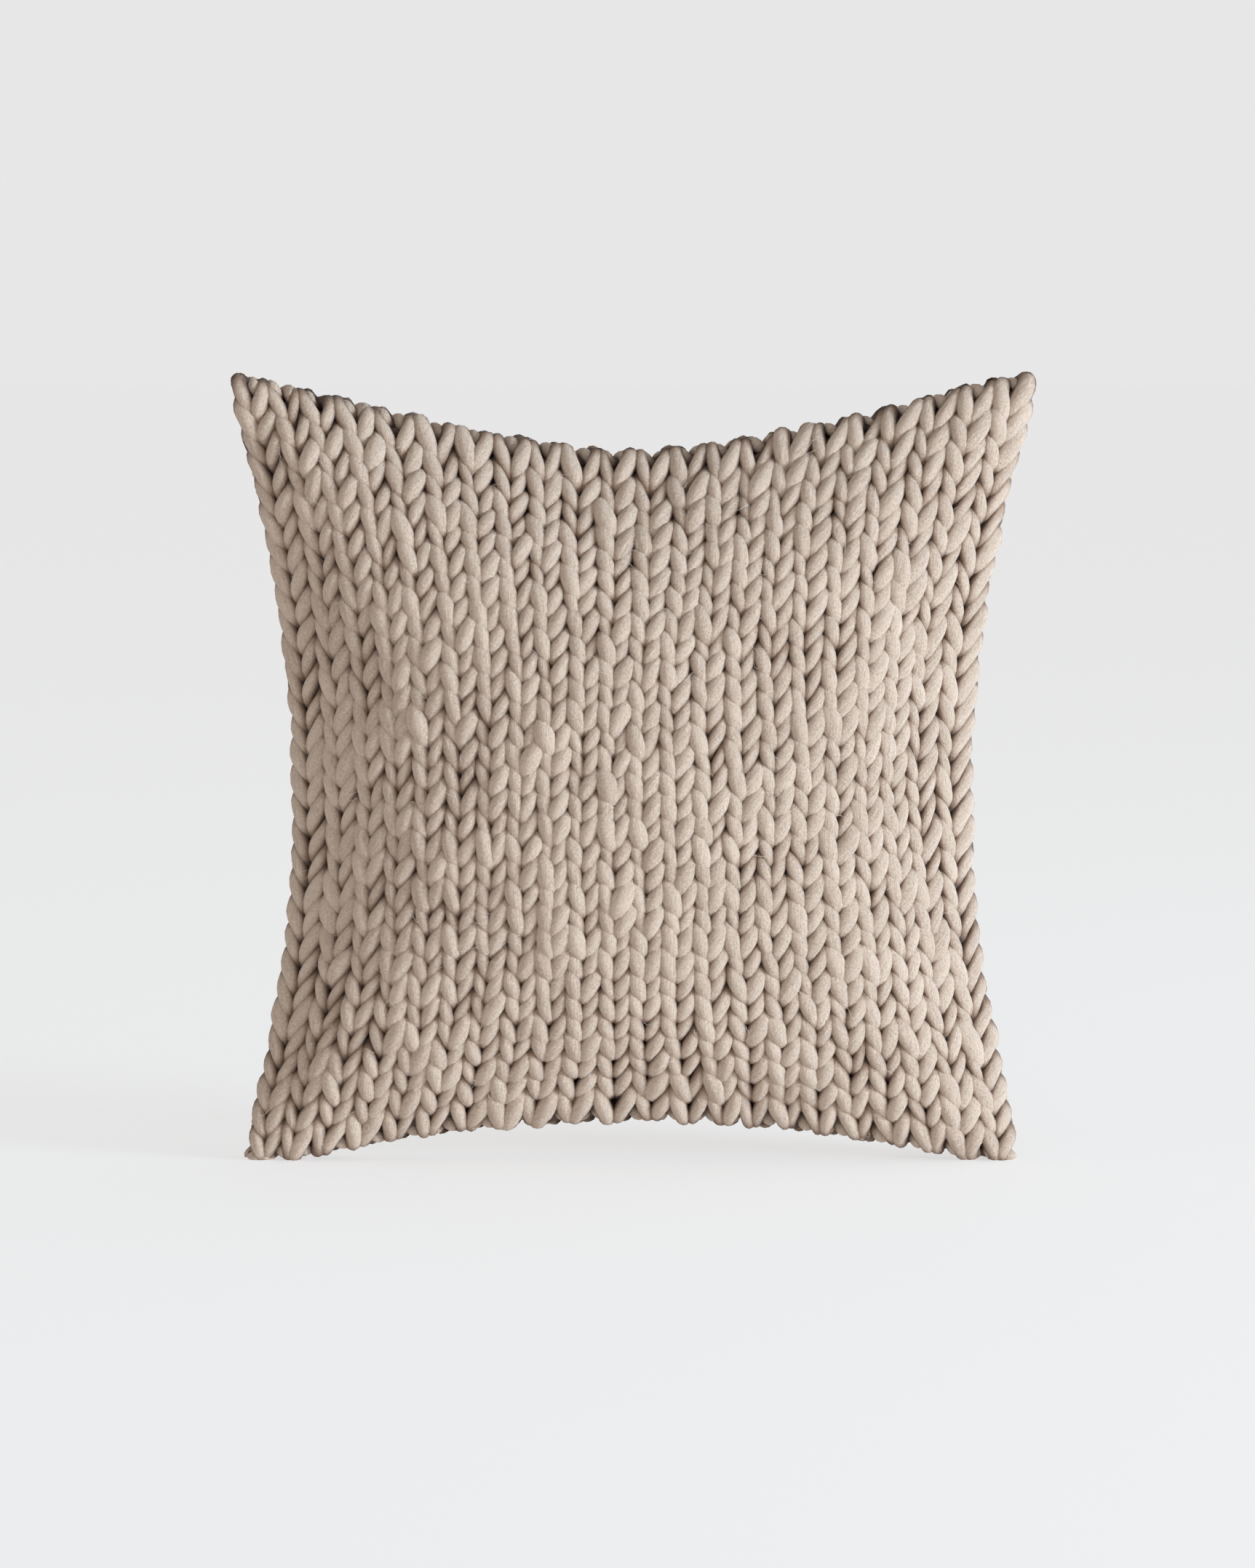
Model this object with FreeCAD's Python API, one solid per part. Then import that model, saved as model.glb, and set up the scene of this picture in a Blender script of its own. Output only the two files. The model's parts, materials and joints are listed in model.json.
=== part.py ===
"""Throw pillow: a hand-knit cover in thick wool yarn, its cotton lining, its zip and the stuffed insert.

Millimetres. The origin is on the floor under the pillow's middle. X runs across the pillow, the front
faces -Y, and Z is up. The pillow stands on its two lower corners, which are pressed flat where they rest.
"""
import FreeCAD, Part

import math
import os

from FreeCAD import Vector

# Outline of the stuffed cover, seen from the front
TOP_SPAN = 492.0  # across the two upper corners
BOTTOM_SPAN = 478.0  # across the two lower corners
CORNER_HEIGHT = 478.0  # from the floor to the upper corner tips
WAIST = 34.0  # how far each side is drawn in halfway up
TOP_SAG = 46.0  # how far the top edge dips in the middle
BOTTOM_ARCH = 22.0  # how far the bottom edge lifts off the floor in the middle
FOOT_PRESS = 5.0  # how much of each lower corner is pressed flat
CORNER_ROUND = 8.0  # how far a corner tip is drawn in to round it
CORNER_POWER = 8.0  # how close to the tip that rounding stays

# Depth
THICKNESS = 166.0  # front to back through the middle
RIM_HALF = 9.0  # half the thickness at the joining seam
BELLY = 0.1  # share by which the lower half is fuller and the upper half slimmer
DOME_ROUNDNESS = 0.95  # 0 is a parabola across the pillow, 1 is half an ellipse

# Layers, from the outside in
KNIT_WALL = 12.0
LAYER_GAP = 0.3
LINING_WALL = 1.2
CASING_WALL = 0.8
SEAM_ALLOWANCE = 6.0  # sewn edge that stands out round the insert
ALLOWANCE_HALF = 0.8  # half the thickness of that edge

# Yarn that joins the two knit panels, lying in a groove round the rim
GROOVE_DEPTH = 8.0
SEAM_PROUD = 1.0
SEAM_CLEAR = 0.4

# Zip, set in the lower back and following the bottom edge
ZIP_HEIGHT = 44.0  # above the bottom seam
ZIP_HALF_LENGTH = 145.0  # from the middle to the end of the coils
ZIP_SUNK = 6.0  # of the tape's middle below the knit's outer face
ZIP_SLOT = 14.0  # width of the gap between the two knit edges
TAPE_WIDTH = 10.5
TAPE_WALL = 0.6
TAPE_END = 21.0  # tape past the end of the coils
TAPE_GAP = 3.0  # between the inner edges of the two tapes
COIL_WIDTH = 2.8
COIL_HEIGHT = 2.3
COIL_GAP = 1.6  # between the two coils
POCKET_CLEAR = 1.5  # room round the tapes inside the cover
POCKET_DEPTH = 14.0
THREAD_WIDTH = 0.6
THREAD_INSET = 3.0  # sewing thread from the tape's outer edge
KNIT_CLEAR = 0.2  # between the tapes and the knit, filled by the thread
BLADE = 0.5  # parting line between the back panel and its lower band

# Slider and pull
SLIDER_LENGTH = 11.0
SLIDER_WIDTH = 10.4
PLATE_WALL = 1.3
SLIDER_CLEAR = 0.35
WEB_LENGTH = 4.0
BAIL_WIDTH = 2.4
BAIL_WALL = 1.0
BAIL_LENGTH = 8.4
BAR_RADIUS = 0.7
BAR_CLEAR = 0.35
PULL_LENGTH = 22.0
PULL_WIDTH = 8.0
PULL_END_WIDTH = 6.4
PULL_WALL = 1.3
PULL_HOLE_RADIUS = 1.6
ARM_WIDTH = 1.3
EYE_LENGTH = 5.4
STOP_LENGTH = 2.6
STOP_GAP = 0.2

GRID = 25  # points each way through which a cover surface passes
SPACING = 1.2  # how much closer those points lie near the edges, in radians of a sine


def half_width(v):
    """Half the outline's width; v runs from -1 at the bottom edge to 1 at the top edge."""
    span = BOTTOM_SPAN + (TOP_SPAN - BOTTOM_SPAN) * (v + 1) / 2
    return span / 2 - WAIST + (WAIST + CORNER_ROUND) * v * v


def top_edge(u):
    return CORNER_HEIGHT - TOP_SAG + (TOP_SAG + CORNER_ROUND) * u * u


def bottom_edge(u):
    return BOTTOM_ARCH - (BOTTOM_ARCH + FOOT_PRESS + CORNER_ROUND) * u * u


def plan_point(u, v, inset):
    """Place in the front view, on the outline drawn in by inset; u and v run from -1 to 1."""
    tip = CORNER_ROUND * abs(u * v) ** CORNER_POWER
    low, high = bottom_edge(u) + inset, top_edge(u) - inset
    x = u * (half_width(v) - inset - tip)
    z = low + (high - low) * (v + 1) / 2 - v * tip
    return x, z


def arc(t):
    """Height of an elliptical arc over -1 to 1: 0 at both ends and 1 in the middle."""
    end = math.sqrt(1 - DOME_ROUNDNESS**2)
    return (math.sqrt(1 - (DOME_ROUNDNESS * t) ** 2) - end) / (1 - end)


def dome_point(u, v, inset, rim, crown):
    """Place on a domed layer: rim deep at its edge and crown deep in its middle."""
    x, z = plan_point(u, v, inset)
    rise = arc(u) * arc(v) * (1 - BELLY * v)
    return Vector(x, rim + (crown - rim) * rise, z)


def spaced(n):
    """n values from -1 to 1, closer together towards the ends."""
    steps = [2 * i / (n - 1) - 1 for i in range(n)]
    return [math.sin(SPACING * t) / math.sin(SPACING) for t in steps]


def mirrored(shape):
    return shape.mirror(Vector(0, 0, 0), Vector(0, 1, 0))


def dome_surface(inset, rim, crown):
    steps = spaced(GRID)
    rows = [[dome_point(u, v, inset, rim, crown) for v in steps] for u in steps]
    surface = Part.BSplineSurface()
    surface.interpolate(rows)
    return surface


def border(surface):
    """The four edges of a domed surface, in the order left, right, bottom, top."""
    u0, u1, v0, v1 = surface.bounds()
    curves = (surface.uIso(u0), surface.uIso(u1), surface.vIso(v0), surface.vIso(v1))
    return [curve.toShape() for curve in curves]


def flat_border(inset, depth):
    return border(dome_surface(inset, depth, depth))


def walls(loops):
    """Ruled faces that join each loop of four edges to the next."""
    faces = []
    for first, second in zip(loops, loops[1:]):
        faces += [Part.makeRuledSurface(a, b) for a, b in zip(first, second)]
    return faces


def closed(faces):
    shell = Part.makeShell(faces)
    shell.sewShape(0.01)
    solid = Part.makeSolid(Part.Shell(shell.Faces))
    if solid.Volume < 0:
        solid.reverse()
    return solid


def layer(outer, inner, between=()):
    """The back half of one layer between two domes (inset, rim, crown), joined through the loops between."""
    outside, inside = dome_surface(*outer), dome_surface(*inner)
    rings = [border(outside), *between, border(inside)]
    return closed([outside.toShape(), inside.toShape(), *walls(rings)])


# How deep each layer lies, from the cover's outer face
LINING_INSET = KNIT_WALL + LAYER_GAP
LINING_INSIDE = LINING_INSET + LINING_WALL
LINING_RIM = ALLOWANCE_HALF + LAYER_GAP  # inside the lining, half its depth at the rim
LINING_OUTER_RIM = LINING_RIM + LINING_WALL
CASING_INSET = LINING_INSIDE + LAYER_GAP + SEAM_ALLOWANCE
CASING_INSIDE = CASING_INSET + CASING_WALL
FILLING_INSET = CASING_INSIDE + LAYER_GAP
HALF = THICKNESS / 2
CASING_DEPTH = LINING_INSIDE + LAYER_GAP  # through the middle the insert fills the lining


def above_floor(shape):
    side = 2 * (TOP_SPAN + BOTTOM_SPAN)
    room = Part.makeBox(side, side, 2 * CORNER_HEIGHT, Vector(-side / 2, -side / 2, 0))
    return shape.common(room)


def knit_half():
    """The back half of the knit cover, with a groove at its rim for the joining yarn."""
    return layer(
        (0.0, RIM_HALF, HALF),
        (KNIT_WALL, LINING_OUTER_RIM + LAYER_GAP, HALF - KNIT_WALL),
        [flat_border(GROOVE_DEPTH, 0.0), flat_border(KNIT_WALL, 0.0)],
    )


def joining_yarn():
    """Yarn round the rim with a four-sided section, clear of the groove's two faces."""
    slope = RIM_HALF / GROOVE_DEPTH
    middle = GROOVE_DEPTH / 3
    reach = GROOVE_DEPTH - 2 * SEAM_CLEAR
    half = (GROOVE_DEPTH - middle) * slope - SEAM_CLEAR * math.hypot(1, slope)
    loops = [
        flat_border(-SEAM_PROUD, 0.0),
        flat_border(middle, half),
        flat_border(reach, 0.0),
        flat_border(middle, -half),
    ]
    return closed(walls([*loops, loops[0]]))


def lining_half():
    return layer(
        (LINING_INSET, LINING_OUTER_RIM, HALF - LINING_INSET),
        (LINING_INSIDE, LINING_RIM, HALF - LINING_INSIDE),
        [flat_border(LINING_INSET, 0.0), flat_border(LINING_INSIDE, 0.0)],
    )


def casing_half():
    """The back half of the insert's cotton casing, which ends at the face of the sewn edge."""
    return layer(
        (CASING_INSET, ALLOWANCE_HALF, HALF - CASING_DEPTH),
        (CASING_INSIDE, ALLOWANCE_HALF, HALF - CASING_DEPTH - CASING_WALL),
    )


def sewn_edge():
    """The insert's seam allowance: a flat ring that both casing halves are sewn to."""
    loops = [
        flat_border(LINING_INSIDE + LAYER_GAP, ALLOWANCE_HALF),
        flat_border(CASING_INSIDE, ALLOWANCE_HALF),
        flat_border(CASING_INSIDE, -ALLOWANCE_HALF),
        flat_border(LINING_INSIDE + LAYER_GAP, -ALLOWANCE_HALF),
    ]
    return closed(walls([*loops, loops[0]]))


def filling():
    depth = HALF - CASING_DEPTH - CASING_WALL - LAYER_GAP
    back = dome_surface(FILLING_INSET, 0.0, depth).toShape()
    return closed([back, mirrored(back)])


# The zip follows a circle through three points of the back, so that its slider turns about one axis


def point_above_seam(x, height):
    """Place on the cover's outer back face, at x and at that height above the bottom seam."""
    u = x / half_width(-1)
    for _ in range(20):
        v = -1 + 2 * height / (top_edge(u) - bottom_edge(u))
        u = x / half_width(v)
    return dome_point(u, v, 0.0, RIM_HALF, HALF)


def zip_frame():
    """Middle, outward normal, up along the face, circle's centre and axis, in the YZ plane; and its radius."""
    middle = point_above_seam(0.0, ZIP_HEIGHT)
    up = point_above_seam(0.0, ZIP_HEIGHT + 1) - point_above_seam(0.0, ZIP_HEIGHT - 1)
    up.normalize()
    normal = Vector(0, up.z, -up.y)
    end = point_above_seam(ZIP_HALF_LENGTH, ZIP_HEIGHT)
    rise = middle - Vector(0, end.y, end.z)
    radius = (ZIP_HALF_LENGTH**2 + rise.Length**2) / (2 * rise.Length)
    outward = Vector(rise).normalize()
    centre = middle - outward * radius
    return middle - normal * ZIP_SUNK, normal, up, centre, outward.cross(Vector(1, 0, 0)), radius


ZIP_MIDDLE, ZIP_NORMAL, ZIP_UP, ZIP_CENTRE, ZIP_AXIS, ZIP_RADIUS = zip_frame()


def zip_angle(length):
    """Degrees of turn about the zip's axis for a length along the coils."""
    return math.degrees(length / ZIP_RADIUS)


ZIP_HALF_ANGLE = zip_angle(ZIP_HALF_LENGTH)
SLIDER_REST = -ZIP_HALF_ANGLE + zip_angle(SLIDER_LENGTH / 2 + STOP_GAP)


def at_zip(n, b, x=0.0):
    """Place at the zip's middle: n outward from the tape, b up along the face, x across."""
    return Vector(x, 0, 0) + ZIP_MIDDLE + ZIP_NORMAL * n + ZIP_UP * b


def turned(shape, degrees):
    moved = shape.copy()
    moved.rotate(ZIP_CENTRE, ZIP_AXIS, degrees)
    return moved


def along_zip(low, high, start, end):
    """A bar of the zip's curve, from start to end degrees; its section's corners are each (outward, up)."""
    corners = [(low[0], low[1]), (high[0], low[1]), (high[0], high[1]), (low[0], high[1])]
    places = [at_zip(n, b) for n, b in corners]
    face = Part.Face(Part.makePolygon([*places, places[0]]))
    return turned(face, start).revolve(ZIP_CENTRE, ZIP_AXIS, end - start)


def block(low, high):
    """A straight block at the zip's middle, from low to high, each (across, outward, up)."""
    size = [b - a for a, b in zip(low, high)]
    return placed(Part.makeBox(*size, Vector(*low)))


def placed(shape):
    """A shape drawn with X across, Y outward and Z up along the face, put at the zip's middle."""
    frame = FreeCAD.Matrix(
        1, 0, 0, ZIP_MIDDLE.x,
        0, ZIP_NORMAL.y, ZIP_UP.y, ZIP_MIDDLE.y,
        0, ZIP_NORMAL.z, ZIP_UP.z, ZIP_MIDDLE.z,
        0, 0, 0, 1,
    )
    return shape.transformed(frame, copy=True)


TAPE_TOP = TAPE_WALL / 2
TAPE_EDGE = TAPE_GAP / 2 + TAPE_WIDTH
TAPE_HALF_ANGLE = ZIP_HALF_ANGLE + zip_angle(TAPE_END)
COIL_TOP = TAPE_TOP + COIL_HEIGHT
COIL_EDGE = COIL_GAP / 2 + COIL_WIDTH


def strip(inner, outer, bottom, top, side, half_angle):
    low, high = sorted((side * inner, side * outer))
    return along_zip((bottom, low), (top, high), -half_angle, half_angle)


def tape(side):
    return strip(TAPE_GAP / 2, TAPE_EDGE, -TAPE_TOP, TAPE_TOP, side, TAPE_HALF_ANGLE)


def coil(side):
    return strip(COIL_GAP / 2, COIL_EDGE, TAPE_TOP, COIL_TOP, side, ZIP_HALF_ANGLE)


def thread(side):
    outer = TAPE_EDGE - THREAD_INSET
    bottom, top = TAPE_TOP, TAPE_TOP + KNIT_CLEAR
    return strip(outer - THREAD_WIDTH, outer, bottom, top, side, ZIP_HALF_ANGLE)


def zip_opening():
    """What is cut from the knit for the zip: the slot, the room round the tapes, and the parting line."""
    slot_half = ZIP_SLOT / 2
    slot_end = ZIP_HALF_ANGLE + zip_angle(PULL_LENGTH - SLIDER_LENGTH / 2 + POCKET_CLEAR)
    past = zip_angle(TOP_SPAN * 0.7)
    slot = along_zip((-POCKET_DEPTH, -slot_half), (HALF, slot_half), -slot_end, slot_end)
    blade = along_zip((-HALF, -BLADE / 2), (HALF, BLADE / 2), -past, past)
    return [slot, zip_pocket(), blade]


def zip_pocket():
    """Room inside the cover for the tapes and for the slider's lower plate."""
    half, top = TAPE_EDGE + POCKET_CLEAR, TAPE_TOP + KNIT_CLEAR
    end = TAPE_HALF_ANGLE + zip_angle(POCKET_CLEAR)
    return along_zip((-POCKET_DEPTH, -half), (top, half), -end, end)


def back_knit():
    """(panel above the zip, band below it)."""
    whole = above_floor(knit_half()).cut(zip_opening())
    parts = sorted(whole.Solids, key=lambda solid: solid.CenterOfMass.z)
    return Part.makeCompound(parts[1:]), parts[0]


def back_lining():
    return lining_half().cut(zip_pocket())


def stop(low, high, side):
    """A small clamp past the end of the coils, on side -1 or 1 of the zip's length."""
    start = zip_angle(STOP_GAP)
    ends = sorted((side * (ZIP_HALF_ANGLE + start), side * (ZIP_HALF_ANGLE + start + zip_angle(STOP_LENGTH))))
    return along_zip((TAPE_TOP, low), (COIL_TOP, high), *ends)


def top_stops():
    inner = TAPE_GAP / 2
    return Part.makeCompound([stop(inner, COIL_EDGE, -1), stop(-COIL_EDGE, -inner, -1)])


def bottom_stop():
    return stop(-COIL_EDGE, COIL_EDGE, 1)


PLATE_LOW = COIL_TOP + SLIDER_CLEAR
PLATE_TOP = PLATE_LOW + PLATE_WALL
UNDER_TOP = -TAPE_TOP - SLIDER_CLEAR
WEB_HALF = COIL_GAP / 2 - SLIDER_CLEAR


def slider_body():
    """Two plates that hold the coils between them, joined by a web at the mouth, with two side flanges."""
    half, wide = SLIDER_LENGTH / 2, SLIDER_WIDTH / 2
    flange = COIL_EDGE + SLIDER_CLEAR
    top = block((-half, PLATE_LOW, -wide), (half, PLATE_TOP, wide))
    under = block((-half, UNDER_TOP - PLATE_WALL, -wide), (half, UNDER_TOP, wide))
    web = block((-half, UNDER_TOP, -WEB_HALF), (-half + WEB_LENGTH, PLATE_LOW, WEB_HALF))
    sides = [
        block((-half, TAPE_TOP + SLIDER_CLEAR, low), (half, PLATE_LOW, high))
        for low, high in ((flange, wide), (-wide, -flange))
    ]
    return top.fuse([under, web, *sides]).removeSplitter()


BAR_HEIGHT = PLATE_TOP + BAR_CLEAR + BAR_RADIUS
BAIL_INNER = BAR_HEIGHT + BAR_RADIUS + BAR_CLEAR
BAIL_TOP = BAIL_INNER + BAIL_WALL


def bail():
    """The bridge on the slider that the pull hangs from."""
    half, wide = BAIL_LENGTH / 2, BAIL_WIDTH / 2
    slope = BAIL_TOP - PLATE_TOP
    outline = [
        (-half, PLATE_TOP),
        (-half + slope / 2, BAIL_TOP),
        (half - slope / 2, BAIL_TOP),
        (half, PLATE_TOP),
        (half - BAIL_WALL, PLATE_TOP),
        (half - BAIL_WALL - slope / 2, BAIL_INNER),
        (-half + BAIL_WALL + slope / 2, BAIL_INNER),
        (-half + BAIL_WALL, PLATE_TOP),
    ]
    places = [Vector(x, y, -wide) for x, y in outline]
    face = Part.Face(Part.makePolygon([*places, places[0]]))
    return placed(face.extrude(Vector(0, 0, BAIL_WIDTH)))


def pull_tab():
    """A flat tab whose end is an eye: a round bar under the bail and an arm each side of it."""
    arm_in = BAIL_WIDTH / 2 + BAR_CLEAR
    arm_out = arm_in + ARM_WIDTH
    half_wall = PULL_WALL / 2
    bar = Part.makeCylinder(BAR_RADIUS, 2 * arm_out, Vector(0, BAR_HEIGHT, -arm_out), Vector(0, 0, 1))
    arms = [
        Part.makeBox(EYE_LENGTH, PULL_WALL, ARM_WIDTH, Vector(0, BAR_HEIGHT - half_wall, low))
        for low in (arm_in, -arm_out)
    ]
    half, end_half = PULL_WIDTH / 2, PULL_END_WIDTH / 2
    outline = [
        Vector(EYE_LENGTH, BAR_HEIGHT - half_wall, -arm_out),
        Vector(EYE_LENGTH + half, BAR_HEIGHT - half_wall, -half),
        Vector(PULL_LENGTH - end_half / 2, BAR_HEIGHT - half_wall, -end_half),
        Vector(PULL_LENGTH, BAR_HEIGHT - half_wall, -end_half / 2),
        Vector(PULL_LENGTH, BAR_HEIGHT - half_wall, end_half / 2),
        Vector(PULL_LENGTH - end_half / 2, BAR_HEIGHT - half_wall, end_half),
        Vector(EYE_LENGTH + half, BAR_HEIGHT - half_wall, half),
        Vector(EYE_LENGTH, BAR_HEIGHT - half_wall, arm_out),
    ]
    plate = Part.Face(Part.makePolygon([*outline, outline[0]])).extrude(Vector(0, PULL_WALL, 0))
    hole_at = Vector(PULL_LENGTH - end_half - PULL_HOLE_RADIUS, BAR_HEIGHT - PULL_WALL, 0)
    hole = Part.makeCylinder(PULL_HOLE_RADIUS, 2 * PULL_WALL, hole_at, Vector(0, 1, 0))
    return placed(bar.fuse([*arms, plate]).cut(hole).removeSplitter())


def slider_piece(shape):
    return turned(shape, SLIDER_REST)


def model():
    """Every sub-part by its node's name."""
    knit_back, knit_band = back_knit()
    return {
        "front_knit_panel": mirrored(above_floor(knit_half())),
        "back_knit_panel": knit_back,
        "back_knit_band": knit_band,
        "joining_seam_yarn": above_floor(joining_yarn()),
        "front_lining": mirrored(lining_half()),
        "back_lining": back_lining(),
        "insert_front_casing": mirrored(casing_half()),
        "insert_back_casing": casing_half(),
        "insert_sewn_edge": sewn_edge(),
        "insert_filling": filling(),
        "zip_tape_upper": tape(1),
        "zip_tape_lower": tape(-1),
        "zip_coil_upper": coil(1),
        "zip_coil_lower": coil(-1),
        "zip_sewing_thread": Part.makeCompound([thread(1), thread(-1)]),
        "zip_top_stops": top_stops(),
        "zip_bottom_stop": bottom_stop(),
        "zip_slider_body": slider_piece(slider_body()),
        "zip_slider_bail": slider_piece(bail()),
        "zip_pull_tab": slider_piece(pull_tab()),
    }


def main():
    os.makedirs("parts", exist_ok=True)
    for name, shape in model().items():
        shape.exportStep(f"parts/{name}.step")


if __name__ == "__main__":
    main()
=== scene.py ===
"""Throw pillow: the knitted cover, its lining, zip and insert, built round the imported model.

Metres and radians, in the model's frame: X across, -Y out of the front, Z up. The cover's two panels are
squares of cloth. u runs across a panel and v up it, each from -1 to 1, and every layer is an offset of the
same puffed surface.
"""
import json
import math

import bpy
import numpy as np
from mathutils import Matrix, Vector


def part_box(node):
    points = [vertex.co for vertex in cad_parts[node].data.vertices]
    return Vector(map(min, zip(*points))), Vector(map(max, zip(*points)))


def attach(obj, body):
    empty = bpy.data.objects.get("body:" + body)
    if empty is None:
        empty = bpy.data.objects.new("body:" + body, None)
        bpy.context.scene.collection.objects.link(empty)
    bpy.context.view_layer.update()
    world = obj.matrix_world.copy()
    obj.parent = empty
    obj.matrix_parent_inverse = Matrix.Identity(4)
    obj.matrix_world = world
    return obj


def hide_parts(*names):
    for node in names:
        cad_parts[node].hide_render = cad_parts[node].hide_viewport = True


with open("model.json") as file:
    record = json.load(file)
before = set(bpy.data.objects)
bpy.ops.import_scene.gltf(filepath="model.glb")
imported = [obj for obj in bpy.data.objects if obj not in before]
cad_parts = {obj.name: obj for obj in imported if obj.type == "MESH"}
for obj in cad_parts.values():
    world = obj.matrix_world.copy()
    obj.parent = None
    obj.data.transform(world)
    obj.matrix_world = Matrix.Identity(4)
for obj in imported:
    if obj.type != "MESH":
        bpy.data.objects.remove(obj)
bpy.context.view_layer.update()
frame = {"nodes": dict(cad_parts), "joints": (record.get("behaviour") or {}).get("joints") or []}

FRONT, BACK = -1, 1
TAU = 2 * math.pi
MM = 0.001

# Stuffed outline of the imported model
KNIT_LOW, KNIT_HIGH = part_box("front_knit_panel")
TOP_HALF = KNIT_HIGH.x
BOTTOM_HALF = TOP_HALF - 7 * MM
HEIGHT = KNIT_HIGH.z
HALF_DEPTH = -KNIT_LOW.y
WAIST = 34 * MM  # how far each side is drawn in
TOP_SAG = 46 * MM
TOP_POWER = 1.55  # of the dip along the top: 2 is a round dip, 1 is a V
TOP_LIFT = 5 * MM  # of the knit's top edge, which rolls over the seam
BOTTOM_ARCH = 22 * MM
FOOT_PRESS = 5 * MM
CORNER_ROUND = 8 * MM
BELLY = 0.1
DOME_ROUNDNESS = 0.95

# Knit
WALES = 22  # stitch columns across a panel
COURSES = 30  # stitch rows up the front
YARN_RADIUS = 4.75 * MM
LEG_RISE = 4.4 * MM  # how far a stitch's legs stand in front of the middle
HEAD_DROP = 2.8 * MM  # how far its head lies behind
KNIT_MIDDLE = YARN_RADIUS + LEG_RISE  # of the knit below the cover's outer face
LOOP_HEIGHT = 1.16  # half a loop's height, in courses
ROLLED_EDGE = 1.024  # v where the knit ends: past 1 it rolls over towards the seam
LOOP_LEAN = 1.62  # how far the legs of a stitch lean apart
LEAN_SKEW = 0.25  # extra lean of the right leg, from the twist in the yarn
STEPS = 32  # segments of yarn in a stitch
SIDES = 12
BAND_COURSES = 9  # courses in one piece
TWIST = 0.3  # of the fibres round the yarn, as a slope

# Puffed cover
GRID = 61  # cloth points each way on a panel
RIM_HALF = 5.5 * MM
PANEL_INSET = 5.5 * MM  # of a panel's edge inside the cover's outline
START_FILL = 0.91  # share of the full depth that the cloth starts from
PUFF_FRAMES = 20
PUFF_CAP = 8 * MM

# Seam yarn
WHIP_PITCH = 11.5 * MM  # along the seam from one turn of the yarn to the next
WHIP_STEPS = 24
WHIP_SIDES = 10
WHIP_OUT = 2.4 * MM  # reach of a turn in and out of its own middle
WHIP_SUNK = 3.2 * MM  # of that middle inside the panels' edges
WHIP_WRAP = 7.2 * MM  # reach of a turn over the front and the back
WHIP_RADIUS = 4.1 * MM

# Loose hairs
HAIR_POINTS = 7
HAIR_RADIUS = 0.07 * MM

# Layers inside the knit, below its middle
LINING_DEPTH = 8.2 * MM
CASING_DEPTH = 10.5 * MM
FILLING_DEPTH = 12.5 * MM
LINING_REACH = 0.99  # share of a panel that the lining covers, up to the seam it is sewn into
LINING_WALL = 0.9 * MM
CASING_REACH = 0.94
CASING_WALL = 0.8 * MM
CASING_RIPPLE = 0.6 * MM
FILLING_REACH = 0.92
FILLING_RIPPLE = 1.5 * MM
EDGE_REACH = 0.963  # of the sewn edge that stands out round the casings
RIM_CLEAR = 0.5 * MM  # between a layer and the pillow's middle plane

# Zip
SLOT_HALF = 11 * MM  # from the zip's line to the middle of the yarn beside it
TAPE_OUT = 3.4 * MM  # of the tape above the knit's middle
BAND_COUNT = 2  # courses below the zip
PANEL_COUNT = 26  # courses above it
TAPE_HALF_WALL = 0.3 * MM
TAPE_INNER = 1.5 * MM
TAPE_OUTER = 12 * MM
COIL_PITCH = 1.35 * MM
WIRE_RADIUS = 0.34 * MM
COIL_HALF_WIDTH = 1.55 * MM
COIL_HALF_HEIGHT = 0.8 * MM
COIL_CENTRE = 1.95 * MM  # of one coil from the zip's line
COIL_CLEAR = 0.35 * MM  # under a coil
STITCH_PITCH = 3.2 * MM
STITCH_LENGTH = 2.7 * MM
STITCH_INSET = 3.3 * MM  # of the thread from the tape's outer edge
THREAD_RADIUS = 0.24 * MM

FLOOR_CLEAR = 0.2 * MM

rng = np.random.default_rng(11)


# ---------------------------------------------------------------- grids and smooth noise


def cubic_weights(t):
    """Catmull-Rom weights of the four points round each t."""
    return (
        ((2 - t) * t - 1) * t / 2,
        ((3 * t - 5) * t * t + 2) / 2,
        ((4 - 3 * t) * t + 1) * t / 2,
        (t - 1) * t * t / 2,
    )


def sample(grid, a, b):
    """Values of a grid at a and b, which run from 0 to 1 along its first and second axes."""
    rows, columns = grid.shape[:2]
    fa, fb = np.clip(a, 0, 1) * (rows - 1), np.clip(b, 0, 1) * (columns - 1)
    ia = np.minimum(fa.astype(int), rows - 2)
    ib = np.minimum(fb.astype(int), columns - 2)
    weights_a, weights_b = cubic_weights(fa - ia), cubic_weights(fb - ib)
    total = 0
    for da, wa in enumerate(weights_a):
        row = np.clip(ia + da - 1, 0, rows - 1)
        for db, wb in enumerate(weights_b):
            column = np.clip(ib + db - 1, 0, columns - 1)
            weight = wa * wb
            value = grid[row, column]
            total = total + (weight[..., None] * value if grid.ndim == 3 else weight * value)
    return total


def noise_grid(rows, columns):
    return rng.uniform(-1, 1, (rows, columns))


def noise_line(count, length, period):
    """count values of smooth noise, from -1 to 1, along a line of that length."""
    knots = max(4, int(length / period) + 2)
    line = np.repeat(rng.uniform(-1, 1, (knots, 1)), 2, axis=1)
    return sample(line, np.linspace(0, 1, count), np.zeros(count))


def unit(vectors):
    return vectors / np.linalg.norm(vectors, axis=-1, keepdims=True)


# ---------------------------------------------------------------- the puffed cover


def arc(t):
    """Height of an elliptical arc over -1 to 1: 0 at both ends and 1 in the middle."""
    end = math.sqrt(1 - DOME_ROUNDNESS**2)
    return (np.sqrt(1 - (DOME_ROUNDNESS * t) ** 2) - end) / (1 - end)


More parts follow.
